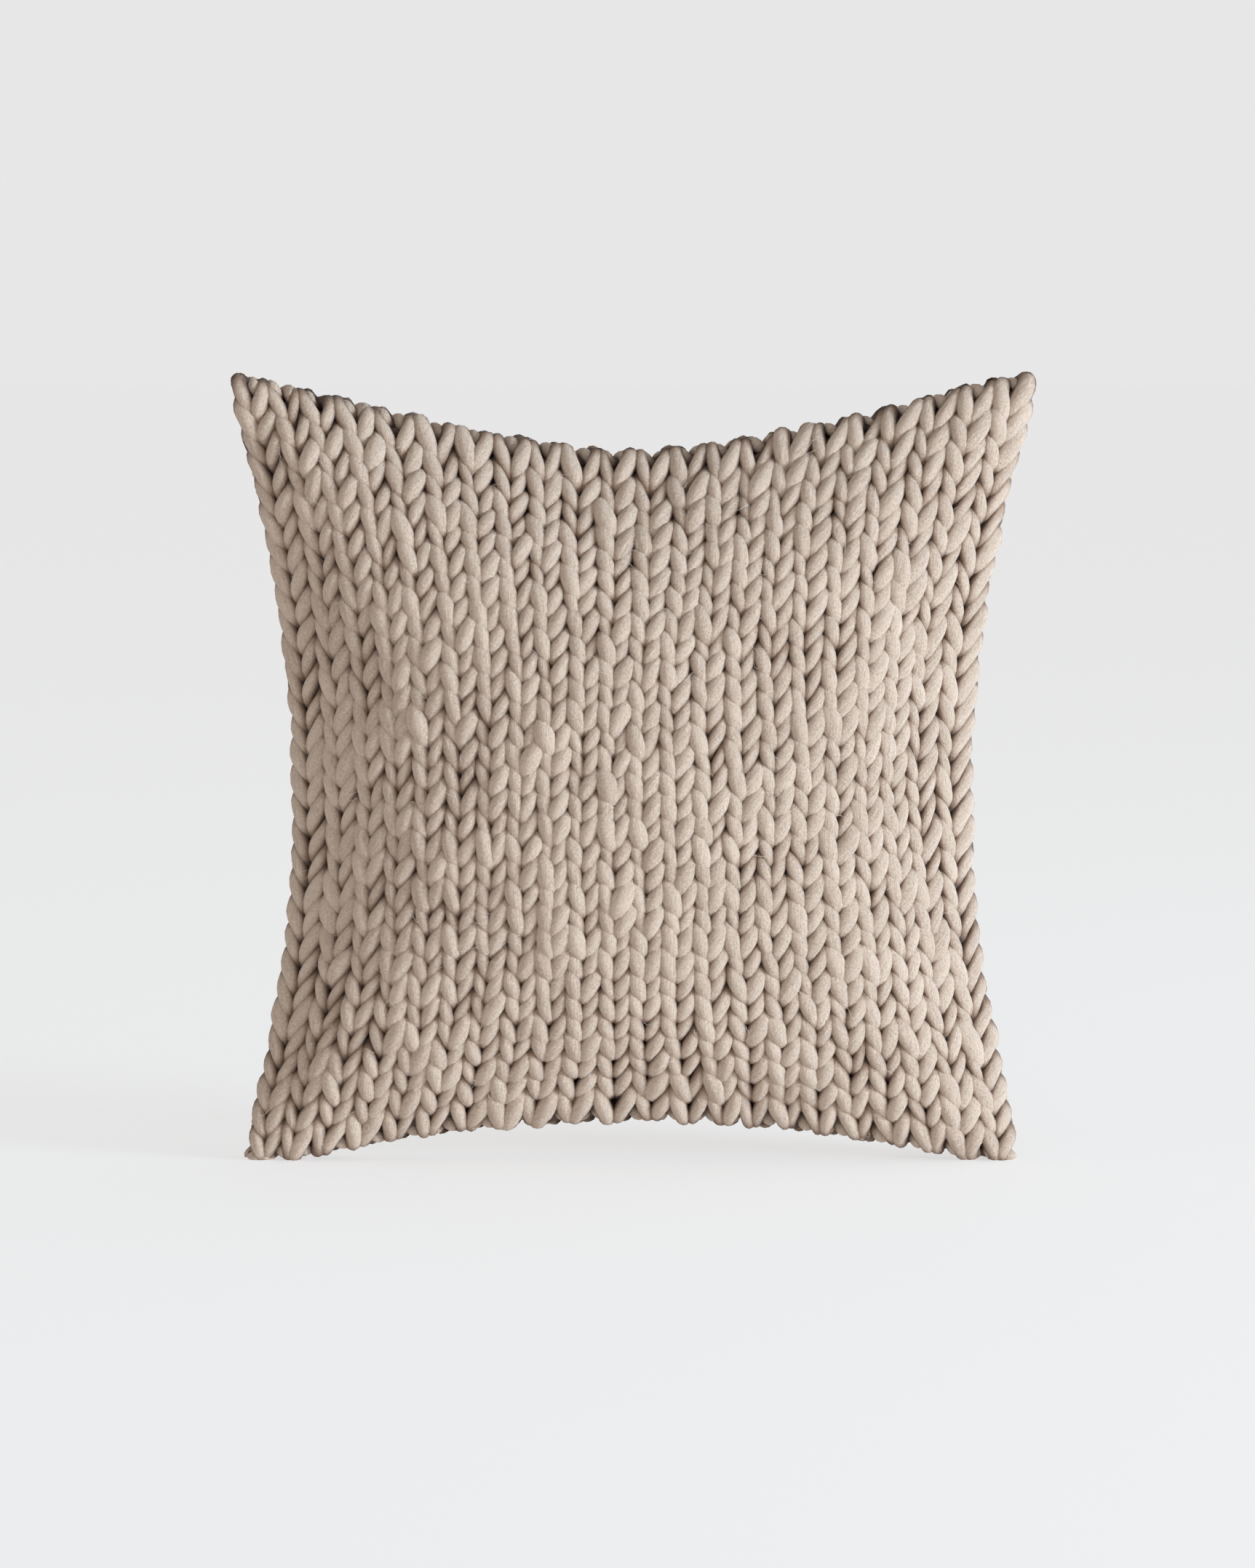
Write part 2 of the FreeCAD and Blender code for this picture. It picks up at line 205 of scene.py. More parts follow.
def start_surface(side, inset):
    """Grid of points on a panel before it is puffed, drawn in from the outline by inset."""
    steps = np.linspace(-1, 1, GRID)
    u, v = np.meshgrid(steps, steps, indexing="ij")
    half = BOTTOM_HALF + (TOP_HALF - BOTTOM_HALF) * (v + 1) / 2
    half = half - WAIST + (WAIST + CORNER_ROUND) * v * v - inset
    tip = CORNER_ROUND * np.abs(u * v) ** 8
    low = BOTTOM_ARCH - (BOTTOM_ARCH + FOOT_PRESS + CORNER_ROUND) * u * u + inset
    high = HEIGHT - TOP_SAG + (TOP_SAG + CORNER_ROUND) * np.abs(u) ** TOP_POWER - inset + TOP_LIFT
    x = u * (half - tip)
    z = low + (high - low) * (v + 1) / 2 - v * tip
    crown = (HALF_DEPTH - KNIT_MIDDLE) * START_FILL - RIM_HALF
    y = side * (RIM_HALF + crown * arc(u) * arc(v) * (1 - BELLY * v))
    return np.stack([x, y, z], axis=-1)


def grid_faces(rows, columns, start=0, flip=False):
    """Quads of a grid whose points are numbered from start, row by row."""
    index = start + np.arange(rows * columns).reshape(rows, columns)
    quads = np.stack([index[:-1, :-1], index[1:, :-1], index[1:, 1:], index[:-1, 1:]], axis=-1).reshape(-1, 4)
    return quads[:, ::-1] if flip else quads


def ring_of(rows, columns):
    """Numbers of a grid's border points, once round."""
    index = np.arange(rows * columns).reshape(rows, columns)
    return np.concatenate([index[:-1, 0], index[-1, :-1], index[:0:-1, -1], index[0, :0:-1]])


def shell_faces(grid):
    """Faces of two grids of the same size joined round their borders, with every face outwards."""
    rows, columns = grid.shape[:2]
    count = rows * columns
    ring = ring_of(rows, columns)
    after = np.roll(ring, -1)
    rim = np.stack([ring, after, after + count, ring + count], axis=-1)
    return np.concatenate([grid_faces(rows, columns), grid_faces(rows, columns, count, True), rim[:, ::-1]])


def new_mesh(name, points, quads):
    """An object from arrays of points and quads."""
    mesh = bpy.data.meshes.new(name)
    mesh.vertices.add(len(points))
    mesh.vertices.foreach_set("co", np.asarray(points, np.float32).ravel())
    mesh.loops.add(quads.size)
    mesh.loops.foreach_set("vertex_index", np.asarray(quads, np.int32).ravel())
    mesh.polygons.add(len(quads))
    mesh.polygons.foreach_set("loop_start", np.arange(0, quads.size, 4, dtype=np.int32))
    mesh.polygons.foreach_set("use_smooth", np.full(len(quads), True))
    mesh.update(calc_edges=True)
    mesh.validate()
    obj = bpy.data.objects.new(name, mesh)
    bpy.context.scene.collection.objects.link(obj)
    return obj


def points_of(obj):
    found = np.zeros(len(obj.data.vertices) * 3, np.float32)
    obj.data.vertices.foreach_get("co", found)
    return found.reshape(-1, 3).astype(float)


def puffed_cover():
    """The front and back panels' grids after the closed cover is blown up as cloth.

    How far a point may move fades to nothing at the border, so the outline stays as it was drawn.
    """
    grids = [start_surface(side, PANEL_INSET) for side in (FRONT, BACK)]
    points = np.concatenate([grid.reshape(-1, 3) for grid in grids])
    cloth = new_mesh("cover_cloth", points, shell_faces(grids[0]))
    modifier = cloth.modifiers.new("puff", "CLOTH")
    settings = modifier.settings
    settings.quality = 6
    settings.mass = 0.4
    settings.tension_stiffness = 12
    settings.compression_stiffness = 12
    settings.bending_stiffness = 1.5
    settings.use_pressure = True
    settings.uniform_pressure_force = 4
    settings.shrink_min = -0.02
    settings.effector_weights.gravity = 0
    modifier.point_cache.frame_end = PUFF_FRAMES
    for number in range(1, PUFF_FRAMES + 1):
        bpy.context.scene.frame_set(number)
    seen = cloth.evaluated_get(bpy.context.evaluated_depsgraph_get())
    moved = np.zeros(len(points) * 3, np.float32)
    seen.data.vertices.foreach_get("co", moved)
    moved = moved.reshape(-1, 3) - points
    length = np.linalg.norm(moved, axis=1, keepdims=True)
    moved = moved * np.minimum(1, PUFF_CAP / np.maximum(length, 1e-9))
    share = np.linspace(-1, 1, GRID) ** 6
    fade = 1 - np.maximum(share[:, None], share).ravel()
    points = points + moved * np.tile(fade, 2)[:, None]
    bpy.data.objects.remove(cloth)
    bpy.context.scene.frame_set(1)
    return [half.reshape(GRID, GRID, 3) for half in np.split(points, 2)]


def smoothed(grid, times):
    """A grid of points relaxed inside its border."""
    for _ in range(times):
        near = grid[2:, 1:-1] + grid[:-2, 1:-1] + grid[1:-1, 2:] + grid[1:-1, :-2]
        grid = grid.copy()
        grid[1:-1, 1:-1] = (grid[1:-1, 1:-1] + near / 4) / 2
    return grid


class Panel:
    """One panel's surface: points and outward normals at any u and v."""

    def __init__(self, side, grid):
        self.side = side
        self.grid = smoothed(grid, 3)
        across = np.gradient(self.grid, axis=0)
        up = np.gradient(self.grid, axis=1)
        self.normals = unit(np.cross(across, up) * (1 if side == FRONT else -1))

    def at(self, u, v, out=0.0):
        a, b = (u + 1) / 2, (v + 1) / 2
        normal = unit(sample(self.normals, a, b))
        point = sample(self.grid, a, b)
        return point + normal * np.asarray(out)[..., None], normal


# ---------------------------------------------------------------- yarn


def frames(path, normal):
    """Side and top directions across a path, with top kept near normal."""
    tangent = unit(np.gradient(path, axis=0))
    side = unit(np.cross(tangent, normal))
    return side, unit(np.cross(side, tangent))


def skin(rings, lengths, girth):
    """Points, quads and (length, girth) map of a closed skin over rings of the same even number of points."""
    count, sides = rings.shape[:2]
    index = np.arange(count * sides).reshape(count, sides)
    after = np.roll(index, -1, axis=1)
    quads = np.stack([index[:-1], index[1:], after[1:], after[:-1]], axis=-1).reshape(-1, 4)
    caps = [cap_quads(index[0]), cap_quads(index[-1][::-1])]
    along = np.stack([lengths[:-1], lengths[1:], lengths[1:], lengths[:-1]], axis=-1)
    along = along[:, None].repeat(sides, 1)
    near, far = np.arange(sides), np.arange(1, sides + 1)
    across = np.stack([near, near, far, far], axis=-1) * girth / sides + TWIST * along
    marks = np.stack([along, across], axis=-1).reshape(-1, 4, 2)
    marks = np.concatenate([marks, np.zeros((2 * len(caps[0]), 4, 2))])
    return rings.reshape(-1, 3), np.concatenate([quads, *caps]), marks


def cap_quads(ring):
    """Quads that close a ring of an even number of points."""
    last = len(ring) - 1
    steps = range(len(ring) // 2 - 1)
    return np.array([[ring[i], ring[i + 1], ring[last - i - 1], ring[last - i]] for i in steps])


def ring_angles(sides):
    """Angles round a tube, from its under side."""
    return -math.pi / 2 + TAU * np.arange(sides) / sides


def tube(path, normal, radius, sides=SIDES, lumps=1.0):
    """A closed tube along a path. The seam of its map lies on the under side."""
    side, top = frames(path, normal)
    angle = ring_angles(sides)
    ring = np.cos(angle)[:, None] * side[:, None] + np.sin(angle)[:, None] * top[:, None]
    size = np.broadcast_to(np.asarray(radius)[..., None] * lumps, (len(path), sides))
    lengths = np.concatenate([[0], np.cumsum(np.linalg.norm(np.diff(path, axis=0), axis=1))])
    return skin(path[:, None] + ring * size[..., None], lengths, TAU * float(size.mean()))


def joined(name, skins, **values):
    """One object from several skins, with their map and any values of each point as attributes."""
    starts = np.cumsum([0] + [len(points) for points, _, _ in skins[:-1]])
    quads = np.concatenate([quads + start for (_, quads, _), start in zip(skins, starts)])
    obj = new_mesh(name, np.concatenate([points for points, _, _ in skins]), quads)
    layer = obj.data.uv_layers.new(name="yarn")
    layer.data.foreach_set("uv", np.concatenate([marks for _, _, marks in skins]).astype(np.float32).ravel())
    for key, value in values.items():
        attribute = obj.data.attributes.new(key, "FLOAT", "POINT")
        attribute.data.foreach_set("value", np.concatenate(value).astype(np.float32))
    return obj


def slub_radius(count, length, base):
    """Radius along hand-spun roving: long thick and thin stretches with small lumps on them."""
    slub = noise_line(count, length, 0.06) + 0.5 * noise_line(count, length, 0.03)
    fat = np.clip(noise_line(count, length, 0.045) - 0.55, 0, 1)
    lump = noise_line(count, length, 0.012)
    return base * (1 + 0.2 * slub + 0.6 * fat + 0.1 * lump)


class Knit:
    """Stockinette on one panel. Columns wander, and no two stitches are quite alike."""

    def __init__(self, panel, rows):
        self.panel = panel
        self.rows = rows
        self.wander = noise_grid(8, 7)
        self.jitter = noise_grid(2 * WALES, len(rows) + 1)
        self.lift = noise_grid(2 * WALES, len(rows) + 1)
        self.depth = noise_grid(2 * WALES, len(rows) + 1)

    def course(self, number):
        """Skin, tone and height of one course.

        rows[number] gives, at any u, the v of its middle and half its height.
        """
        turn = np.linspace(0, TAU * WALES, WALES * STEPS + 1)
        place = (turn + (LOOP_LEAN - LEAN_SKEW * np.sin(turn)) * np.sin(2 * turn)) / TAU / WALES
        row = np.full_like(turn, number / len(self.rows))
        wander = 0.2 * sample(self.wander, place, row) + 0.07 * sample(self.jitter, place, row)
        inside = np.clip(np.minimum(place, 1 - place) * WALES / 2, 0, 1)
        u = -1 + 2 * (place + wander * inside / WALES)
        middle, half = self.rows[number](u)
        v = middle - half * np.cos(turn) * (1 + 0.12 * sample(self.lift, place, row))
        wave = -np.cos(2 * turn)
        rise = np.where(wave > 0, LEG_RISE, HEAD_DROP) * wave
        out = rise + 1.0 * MM * sample(self.depth, place, row)
        rolled = np.clip(np.abs(v) - 1, 0, 1) * HEIGHT / 2
        path, normal = self.panel.at(u, np.clip(v, -1, 1), out - 1.3 * rolled)
        count = len(path)
        length = float(np.linalg.norm(np.diff(path, axis=0), axis=1).sum())
        radius = slub_radius(count, length, YARN_RADIUS) * (0.78 + 0.3 * np.sin(turn) ** 2)
        lumps = 1 + 0.06 * rng.uniform(-1, 1, (count // 2 + 1, SIDES)).repeat(2, axis=0)[:count]
        tone = noise_line(count, length, 0.12) + 0.4 * noise_line(count, length, 0.03)
        # Height of each point from the knit's middle, in millimetres, which the wool reads to paint shade on
        # low yarn
        height = rise[:, None] + radius[:, None] * np.sin(ring_angles(SIDES))
        made = tube(path, normal, radius, SIDES, lumps)
        np.maximum(made[0][:, 2], FLOOR_CLEAR, out=made[0][:, 2])
        return made, tone.repeat(SIDES), height.ravel() / MM

    def band(self, name, numbers):
        skins, tones, heights = zip(*[self.course(number) for number in numbers])
        return joined(name, skins, tone=tones, height=heights)


def spread_rows(count, low, high):
    """Courses spread evenly between two v values, each a function of u."""

    def row(number):
        def place(u):
            pitch = (high(u) - low(u)) / (count + LOOP_HEIGHT * 2 - 1)
            return low(u) + pitch * (number + LOOP_HEIGHT), pitch * LOOP_HEIGHT

        return place

    return [row(number) for number in range(count)]


def finished(piece, body, slot, material, *nodes):
    """Gives a piece its material and body, and hides the CAD nodes it stands for. The slot is not used."""
    piece.data.materials.clear()
    piece.data.materials.append(material)
    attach(piece, body)
    if nodes:
        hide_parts(*nodes)
    return piece


front_grid, back_grid = puffed_cover()
front, back = Panel(FRONT, front_grid), Panel(BACK, back_grid)


MIX_FIRST, MIX_SECOND, MIX_RESULT = 6, 7, 2  # a Mix node's colour sockets


class Nodes:
    """Adds nodes to a new material and joins them up."""

    def __init__(self, name, **shader):
        self.material = bpy.data.materials.new(name)
        self.material.use_nodes = True
        self.tree = self.material.node_tree
        self.shader = self.tree.nodes["Principled BSDF"]
        self.fill(self.shader, shader)

    def fill(self, node, values):
        for key, value in values.items():
            key = key.replace("_", " ") if key.replace("_", " ") in node.inputs else key
            if isinstance(value, bpy.types.NodeSocket):
                self.tree.links.new(value, node.inputs[key])
            elif key in node.inputs:
                node.inputs[key].default_value = value
            else:
                setattr(node, key, value)
        return node

    def add(self, kind, **values):
        return self.fill(self.tree.nodes.new("ShaderNode" + kind), values)

    def noise(self, place, scale, detail=3.0, roughness=0.6):
        node = self.add("TexNoise", Scale=scale, Detail=detail, Roughness=roughness, Vector=place)
        return node.outputs["Fac"]

    def sum(self, first, share, second):
        """first times share, plus second."""
        node = self.add("Math", operation="MULTIPLY_ADD")
        for socket, value in zip(node.inputs, (first, share, second)):
            if isinstance(value, bpy.types.NodeSocket):
                self.tree.links.new(value, socket)
            else:
                socket.default_value = value
        return node.outputs[0]

    def ramp(self, value, *stops):
        """Colour for a value, from (position, colour) stops."""
        node = self.add("ValToRGB", Fac=value)
        elements = node.color_ramp.elements
        while len(elements) < len(stops):
            elements.new(0.5)
        for element, (position, colour) in zip(elements, stops):
            element.position = position
            element.color = (*colour, 1)
        return node.outputs["Color"]

    def scaled(self, place, *scale):
        return self.add("Mapping", Vector=place, Scale=scale).outputs["Vector"]

    def paint(self, colour, height, strength, distance):
        """Colour and bump on the shader."""
        bump = self.add("Bump", Height=height, Strength=strength, Distance=distance)
        self.tree.links.new(colour, self.shader.inputs["Base Color"])
        self.tree.links.new(bump.outputs["Normal"], self.shader.inputs["Normal"])
        return self.material

    def times(self, first, second):
        """Two colours multiplied."""
        node = self.add("Mix", data_type="RGBA", blend_type="MULTIPLY")
        node.inputs["Factor"].default_value = 1.0
        self.tree.links.new(first, node.inputs[MIX_FIRST])
        self.tree.links.new(second, node.inputs[MIX_SECOND])
        return node.outputs[MIX_RESULT]


def wool(name, dark, light, crevice_shade_colour):
    """Felted roving: fibre streaks that wind along the yarn, soft sheen, uneven tone, and painted shade that
    darkens the yarn where it lies low between stitches.
    """
    made = Nodes(name, Roughness=0.95, Specular_IOR_Level=0.15, Sheen_Weight=0.25, Sheen_Roughness=0.6)
    marks = made.add("UVMap", uv_map="yarn").outputs["UV"]
    place = made.add("TexCoord").outputs["Object"]
    strands = made.noise(made.scaled(marks, 50, 560, 1), 1.0, 3.0, 0.55)
    fibres = made.noise(made.scaled(marks, 130, 2000, 1), 1.0, 3.0, 0.6)
    felt = made.noise(place, 650.0, 5.0, 0.75)
    tone = made.add("Attribute", attribute_name="tone").outputs["Fac"]
    height = made.add("Attribute", attribute_name="height").outputs["Fac"]
    shade = made.sum(strands, 0.2, made.sum(fibres, 0.25, made.sum(felt, 0.55, made.sum(tone, 0.04, 0.0))))
    colour = made.ramp(shade, (0.36, dark), (0.58, light))
    # Painted shade: the colour darkens to dark brown where the height attribute puts the yarn low in the gaps
    # between stitches
    depth = made.sum(height, 0.1, 0.0)
    painted_crevice_shade = made.ramp(depth, (0.40, crevice_shade_colour), (0.58, (0.46, 0.35, 0.27)), (0.80, (1, 1, 1)))
    relief = made.sum(felt, 1.1, made.sum(fibres, 0.4, made.sum(strands, 0.35, 0.0)))
    return made.paint(made.times(colour, painted_crevice_shade), relief, 1.0, 2.4 * MM)


def weave(name, dark, light, threads, roughness=0.85):
    """Plain woven cloth: crossed threads, so many to the metre, with uneven yarn."""
    made = Nodes(name, Roughness=roughness, Specular_IOR_Level=0.2, Sheen_Weight=0.15)
    place = made.add("TexCoord").outputs["Object"]
    rough = made.noise(place, threads / 3)
    bands = []
    for direction in ("X", "Z"):
        wave = made.add("TexWave", Vector=place, bands_direction=direction)
        bands.append(made.fill(wave, {"Scale": threads / 20, "Distortion": 0.6}).outputs["Fac"])
    cross = made.sum(bands[0], 0.5, made.sum(bands[1], 0.5, 0.0))
    shade = made.sum(rough, 0.5, made.sum(cross, 0.5, 0.0))
    return made.paint(made.ramp(shade, (0.3, dark), (0.75, light)), cross, 0.5, 0.3 * MM)


def twill(name, dark, light):
    """Narrow tape with diagonal ribs that follow its own length."""
    made = Nodes(name, Roughness=0.8, Specular_IOR_Level=0.25, Sheen_Weight=0.2)
    marks = made.add("UVMap", uv_map="yarn").outputs["UV"]
    wave = made.add("TexWave", Vector=marks, bands_direction="DIAGONAL", Scale=330.0, Distortion=0.8)
    fuzz = made.noise(made.add("TexCoord").outputs["Object"], 2500.0)
    shade = made.sum(wave.outputs["Fac"], 0.55, made.sum(fuzz, 0.45, 0.0))
    return made.paint(made.ramp(shade, (0.25, dark), (0.75, light)), shade, 0.7, 0.25 * MM)


def nylon(name, dark, light):
    """Satin moulded thread with faint drawn lines."""
    made = Nodes(name, Roughness=0.38, Specular_IOR_Level=0.45, Coat_Weight=0.1)
    lines = made.noise(made.add("TexCoord").outputs["Object"], 1800.0)
    return made.paint(made.ramp(lines, (0.35, dark), (0.65, light)), lines, 0.15, 0.05 * MM)


def nickel(name):
    """Dull plate with fine scratches and rubbed patches."""
    made = Nodes(name, Metallic=1.0, Specular_IOR_Level=0.5)
    place = made.add("TexCoord").outputs["Object"]
    scratches = made.noise(made.scaled(place, 400, 2600, 900), 1.0, 4.0)
    rubbed = made.noise(place, 160.0)
    rough = made.sum(scratches, 0.16, made.sum(rubbed, 0.16, 0.18))
    made.tree.links.new(rough, made.shader.inputs["Roughness"])
    colour = made.ramp(rubbed, (0.35, (0.46, 0.44, 0.41)), (0.65, (0.66, 0.64, 0.61)))
    return made.paint(colour, scratches, 0.25, 0.03 * MM)


def fibrefill(name):
    made = Nodes(name, Roughness=0.95, Specular_IOR_Level=0.1, Sheen_Weight=0.3)
    place = made.add("TexCoord").outputs["Object"]
    clumps, wisps = made.noise(place, 45.0, 5.0), made.noise(place, 900.0, 4.0)
    shade = made.sum(clumps, 0.6, made.sum(wisps, 0.4, 0.0))
    colour = made.ramp(shade, (0.3, (0.72, 0.72, 0.71)), (0.7, (0.93, 0.93, 0.92)))
    return made.paint(colour, shade, 0.8, 2 * MM)


# Its third colour is the painted shade laid on yarn that lies low between stitches
oatmeal = wool("oatmeal_wool", (0.60, 0.43, 0.315), (0.93, 0.725, 0.565), (0.15, 0.095, 0.065))
# Beige cotton lining, its colour darkened so that it also serves as painted shade in the gaps between
# stitches
shade_darkened_lining_cotton = weave("beige_lining_darkened_as_shade", (0.30, 0.23, 0.17), (0.44, 0.35, 0.27), 1400)
casing_cotton = weave("off_white_cotton_casing", (0.68, 0.66, 0.6), (0.86, 0.84, 0.79), 1800)
tape_twill = twill("beige_twill_tape", (0.42, 0.33, 0.25), (0.62, 0.52, 0.42))
thread_cotton = twill("spun_thread", (0.52, 0.43, 0.34), (0.7, 0.6, 0.5))
coil_nylon = nylon("beige_coil_nylon", (0.50, 0.41, 0.32), (0.62, 0.52, 0.42))
dull_nickel = nickel("dull_nickel")
filling_fibre = fibrefill("polyester_fibre")


# ---------------------------------------------------------------- the zip's curve

ZIP_JOINT = next(joint for joint in frame["joints"] if joint["name"] == "zip_travel")
ZIP_CENTRE = np.array(ZIP_JOINT["pos_m"])
ZIP_AXIS = unit(np.array(ZIP_JOINT["axis"]))
ZIP_OUTWARD = np.cross(np.array([1, 0, 0]), -ZIP_AXIS)
ZIP_OUTWARD = ZIP_OUTWARD * np.sign(ZIP_OUTWARD[1])
SLIDER_REST = -math.radians(ZIP_JOINT["range_deg"][1]) / 2


def zip_section(node):
    """The node's cross-section at the zip's middle: its corners, after every point is turned back there."""
    away = points_of(frame["nodes"][node]) - ZIP_CENTRE
    height = away @ ZIP_AXIS
    reach = np.linalg.norm(away - height[:, None] * ZIP_AXIS, axis=1)
    corners = np.unique(np.round(np.stack([reach, height], axis=1), 5), axis=0)
    return ZIP_CENTRE + corners[:, :1] * ZIP_OUTWARD + corners[:, 1:] * ZIP_AXIS


UPPER, LOWER = (zip_section(f"zip_tape_{name}").mean(axis=0) for name in ("upper", "lower"))
ZIP_MIDDLE = (UPPER + LOWER) / 2
ZIP_UP = unit(UPPER - LOWER)
ZIP_NORMAL = np.array([0, ZIP_UP[2], -ZIP_UP[1]])
ZIP_RADIUS = float((ZIP_MIDDLE - ZIP_CENTRE) @ ZIP_OUTWARD)
COIL_HALF = math.asin(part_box("zip_coil_upper")[1].x / ZIP_RADIUS) * ZIP_RADIUS
TAPE_HALF = math.asin(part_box("zip_tape_upper")[1].x / ZIP_RADIUS) * ZIP_RADIUS
TAPE_TOP = TAPE_HALF_WALL


def zip_place(length, up, out):
    """Places at a length along the zip's curve, up the pillow's face from its line, and out of the tape."""
    length, up, out = np.broadcast_arrays(length, up, out)
    away = ZIP_MIDDLE + up[..., None] * ZIP_UP + out[..., None] * ZIP_NORMAL - ZIP_CENTRE
    reach, angle = away @ ZIP_OUTWARD, length / ZIP_RADIUS
    turned = (reach * np.cos(angle))[..., None] * ZIP_OUTWARD + (away @ ZIP_AXIS)[..., None] * ZIP_AXIS
    across = (reach * np.sin(angle))[..., None] * np.array([1, 0, 0])
    return ZIP_CENTRE + turned + across


def zip_on_panel(panel):
    """Curves of u: the v of the zip's line on a panel, and how far its tape stands out of the panel there."""
    u, v = np.meshgrid(np.linspace(-0.95, 0.95, 191), np.linspace(-1, -0.5, 121), indexing="ij")
    points, normals = panel.at(u.ravel(), v.ravel())
    targets = zip_place(np.linspace(-TAPE_HALF, TAPE_HALF, 31), 0, 0)
    nearest = np.array([np.argmin(((points - target) ** 2).sum(axis=1)) for target in targets])
    out = ((targets - points[nearest]) * normals[nearest]).sum(axis=1)
    found = u.ravel()[nearest]
    line = np.polynomial.Polynomial.fit(found, v.ravel()[nearest], 4)
    stand = np.polynomial.Polynomial.fit(found, out, 4)

    def held(curve):
        return lambda at: curve(np.clip(at, -0.8, 0.8))

    return held(line), held(stand), float(found.max())


def fitted_to_zip(panel):
    """The panel again, moved in or out near the zip so that the tape lies in it at the right depth."""
    line, stand, _ = zip_on_panel(panel)
    steps = np.linspace(-1, 1, GRID)
    u, v = np.meshgrid(steps, steps, indexing="ij")
    share = np.exp(-(((v - line(u)) / 0.16) ** 2)) * np.clip((1 - np.abs(u)) / 0.12, 0, 1)
    panel.grid = panel.grid + panel.normals * ((stand(u) - TAPE_OUT) * share)[..., None]
    return Panel(BACK, panel.grid)


back = fitted_to_zip(back)
ZIP_V, _, ZIP_END_U = zip_on_panel(back)
V_PER_METRE = 2 / (HEIGHT - TOP_SAG)


def slot_edge(side):
    """v of the knit's edge beside the zip. Past the tape's ends the two edges run together and overlap."""

    def edge(u):
        closed = np.clip((np.abs(u) - ZIP_END_U) / 0.06, 0, 1)
        closed = closed * closed * (3 - 2 * closed)
        return ZIP_V(u) + side * V_PER_METRE * (SLOT_HALF * (1 - closed) - 9 * MM * closed)

    return edge


# ---------------------------------------------------------------- knit, seam and fuzz


def knit_pieces(knit, stem, numbers, *nodes):
    """Bands of courses, each one piece."""
    for first in range(0, len(numbers), BAND_COURSES):
        piece = knit.band(f"{stem}_rows_{first // BAND_COURSES + 1}", numbers[first : first + BAND_COURSES])
        finished(piece, "root", "knit", oatmeal, *nodes)


def bottom(u):
    return -ROLLED_EDGE + 0 * u


def top(u):
    return ROLLED_EDGE + 0 * u


front_knit = Knit(front, spread_rows(COURSES, bottom, top))
knit_pieces(front_knit, "front_knit", range(COURSES), "front_knit_panel")
below = Knit(back, spread_rows(BAND_COUNT, bottom, slot_edge(-1)))
knit_pieces(below, "back_knit_band", range(BAND_COUNT), "back_knit_band")
above = Knit(back, spread_rows(PANEL_COUNT, slot_edge(1), top))
knit_pieces(above, "back_knit", range(PANEL_COUNT), "back_knit_panel")


def border_ring(grid, share=1.0):
    """Points once round a panel, at that share of the way to its border."""
    steps = np.linspace(0, 1, 4 * GRID)
    low, high = (1 - share) / 2, (1 + share) / 2
    along = low + (high - low) * steps[:-1]
    start, end = np.full_like(along, low), np.full_like(along, high)
    a = np.concatenate([along, end, low + high - along, start])
    b = np.concatenate([start, along, end, low + high - along])
    return sample(grid, a, b)


def seam_yarn():
    """One length of yarn whipped over the two panels' edges, all the way round."""
    ring = (border_ring(front.grid) + border_ring(back.grid)) / 2
    closed = np.concatenate([ring, ring[:1]])
    along = np.concatenate([[0], np.cumsum(np.linalg.norm(np.diff(closed, axis=0), axis=1))])
    turns = round(along[-1] / WHIP_PITCH)
    spots = np.linspace(0, along[-1], turns * WHIP_STEPS + 1)
    centre = np.stack([np.interp(spots, along, closed[:, k]) for k in range(3)], axis=-1)
    outward = unit(np.cross(np.array([0, 1, 0]), np.gradient(centre, axis=0)))
    angle = TAU * turns * spots / along[-1] + 0.5 * noise_line(len(spots), along[-1], 0.03)
    across = np.sin(angle)[:, None] * np.array([0, 1, 0])
    path = centre + outward * (WHIP_OUT * np.cos(angle) - WHIP_SUNK)[:, None] + WHIP_WRAP * across
    radius = slub_radius(len(spots), along[-1] * 2, WHIP_RADIUS)
    tone = noise_line(len(spots), along[-1], 0.08)
    normal = unit(outward * np.cos(angle)[:, None] + across + 1e-3)
    made = tube(path, normal, radius, WHIP_SIDES)
    np.maximum(made[0][:, 2], FLOOR_CLEAR, out=made[0][:, 2])
    # Height for the wool's painted shade: the seam yarn is painted darker where it turns in towards the
    # panels and on its under side
    height = (2 * np.cos(angle))[:, None] + 1.5 * np.sin(ring_angles(WHIP_SIDES))
    piece = joined("joining_seam", [made], tone=[tone.repeat(WHIP_SIDES)], height=[height.ravel() + 6.5])
    finished(piece, "root", "seam_yarn", oatmeal, "joining_seam_yarn")


